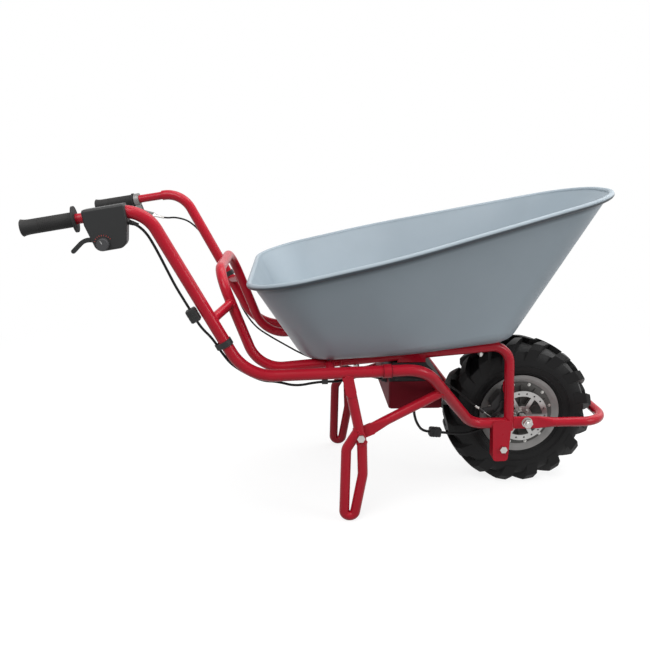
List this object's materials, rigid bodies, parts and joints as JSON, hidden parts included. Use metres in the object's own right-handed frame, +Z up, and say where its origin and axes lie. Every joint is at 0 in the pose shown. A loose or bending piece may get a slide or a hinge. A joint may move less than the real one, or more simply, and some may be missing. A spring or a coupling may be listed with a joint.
{
  "type": "electric wheelbarrow",
  "caption": "Single-wheel electric wheelbarrow: sheet tray on a bent tube frame with hub motor wheel, battery box, foot stand, bumper, throttle and disc brake.",
  "frame": {"origin": "on the ground, at the centre of the overall box, on the symmetry plane", "axes": "+X forward along the barrow to the wheel, +Y to the user's left, +Z up"},
  "size_m": [1.4138, 0.69, 0.7986],
  "materials": {
    "red_paint": "glossy red powder coat",
    "grey_paint": "satin blue-grey paint",
    "black_paint": "satin black paint",
    "zinc_steel": "bright zinc plate",
    "cast_aluminium": "cast, lightly machined",
    "disc_steel": "ground",
    "black_plastic": "fine moulded grain",
    "grey_plastic": "moulded",
    "collar_paint": "red paint",
    "box_paint": "dark red paint",
    "grip_rubber": "finely ringed matt rubber",
    "tyre_rubber": "matt",
    "cable_sheath": "smooth sheath",
    "cell_wrap": "heat-shrink film",
    "pad_compound": "pressed compound",
    "lamination": "stacked sheet",
    "copper": "varnished wire",
    "magnet": "nickel plate"
  },
  "bodies": {
    "frame": {"handle_tube_right": "red_paint", "handle_tube_left": "red_paint", "front_rail_right": "red_paint", "front_rail_left": "red_paint", "tray_rail_right": "red_paint", "tray_rail_left": "red_paint", "hoop_strut_right": "red_paint", "hoop_strut_left": "red_paint", "fork_bracket_right": "red_paint", "fork_bracket_left": "red_paint", "stand_leg_right": "red_paint", "stand_leg_left": "red_paint", "foot_loop_right": "red_paint", "foot_loop_left": "red_paint", "stand_brace_right": "red_paint", "stand_brace_left": "red_paint", "rear_hoop": "red_paint", "rail_links": "red_paint", "front_bumper": "red_paint", "battery_hangers": "red_paint", "caliper_bracket": "red_paint", "battery_box": "box_paint", "tray": "grey_paint", "battery_lid": "black_paint", "brake_caliper": "black_paint", "splice_collars": "collar_paint", "frame_bolts": "zinc_steel", "tray_studs": "zinc_steel", "axle": "zinc_steel", "axle_nuts": "zinc_steel", "lever_pins": "zinc_steel", "barrel_adjuster": "zinc_steel", "brake_perch": "cast_aluminium", "control_box": "black_plastic", "control_clamp": "black_plastic", "harness_connector": "black_plastic", "motor_connector": "black_plastic", "cable_ties": "black_plastic", "grip_right": "grip_rubber", "grip_left": "grip_rubber", "harness_cable": "cable_sheath", "brake_cable": "cable_sheath", "motor_lead": "cable_sheath", "battery_cells": "cell_wrap", "brake_pads": "pad_compound", "motor_stator": "lamination", "stator_coils": "copper"},
    "wheel": {"tyre": "tyre_rubber", "rim": "cast_aluminium", "hub_shell": "cast_aluminium", "hub_cover_right": "cast_aluminium", "hub_cover_left": "cast_aluminium", "brake_disc": "disc_steel", "wheel_bearings": "zinc_steel", "magnet_ring": "magnet"},
    "throttle": {"throttle_lever": "black_plastic"},
    "knob": {"speed_knob": "grey_plastic"},
    "brake_handle": {"brake_lever": "black_paint"},
    "brake_arm": {"caliper_arm": "black_paint"}
  },
  "joints": [
    {"name": "wheel_spin", "type": "hinge", "parent": "frame", "child": "wheel", "pos_m": [0.475, 0, 0.2], "axis": [0, 1, 0], "continuous": true},
    {"name": "throttle_press", "type": "hinge", "parent": "frame", "child": "throttle", "pos_m": [-0.54888, -0.28982, 0.70705], "axis": [-0.0871, 0.9962, 0], "range_deg": [0, 25], "stiffness_Nm_per_rad": 0.4, "springref_deg": -5.73},
    {"name": "brake_squeeze", "type": "hinge", "parent": "frame", "child": "brake_handle", "pos_m": [-0.5721, 0.28382, 0.71565], "axis": [0.0871, 0.9962, 0], "range_deg": [0, 14], "stiffness_Nm_per_rad": 2, "springref_deg": -5.73},
    {"name": "knob_turn", "type": "hinge", "parent": "frame", "child": "knob", "pos_m": [-0.5327, -0.3115, 0.70017], "axis": [0.0871, -0.9962, 0], "range_deg": [-135, 135]},
    {"name": "brake_arm_swing", "type": "hinge", "parent": "frame", "child": "brake_arm", "pos_m": [0.41554, -0.08755, 0.2432], "axis": [0, 1, 0], "range_deg": [0, 11.2]}
  ],
  "couplings": [
    {"joint": "brake_arm_swing", "follows": "brake_squeeze", "ratio": 0.8}
  ]
}
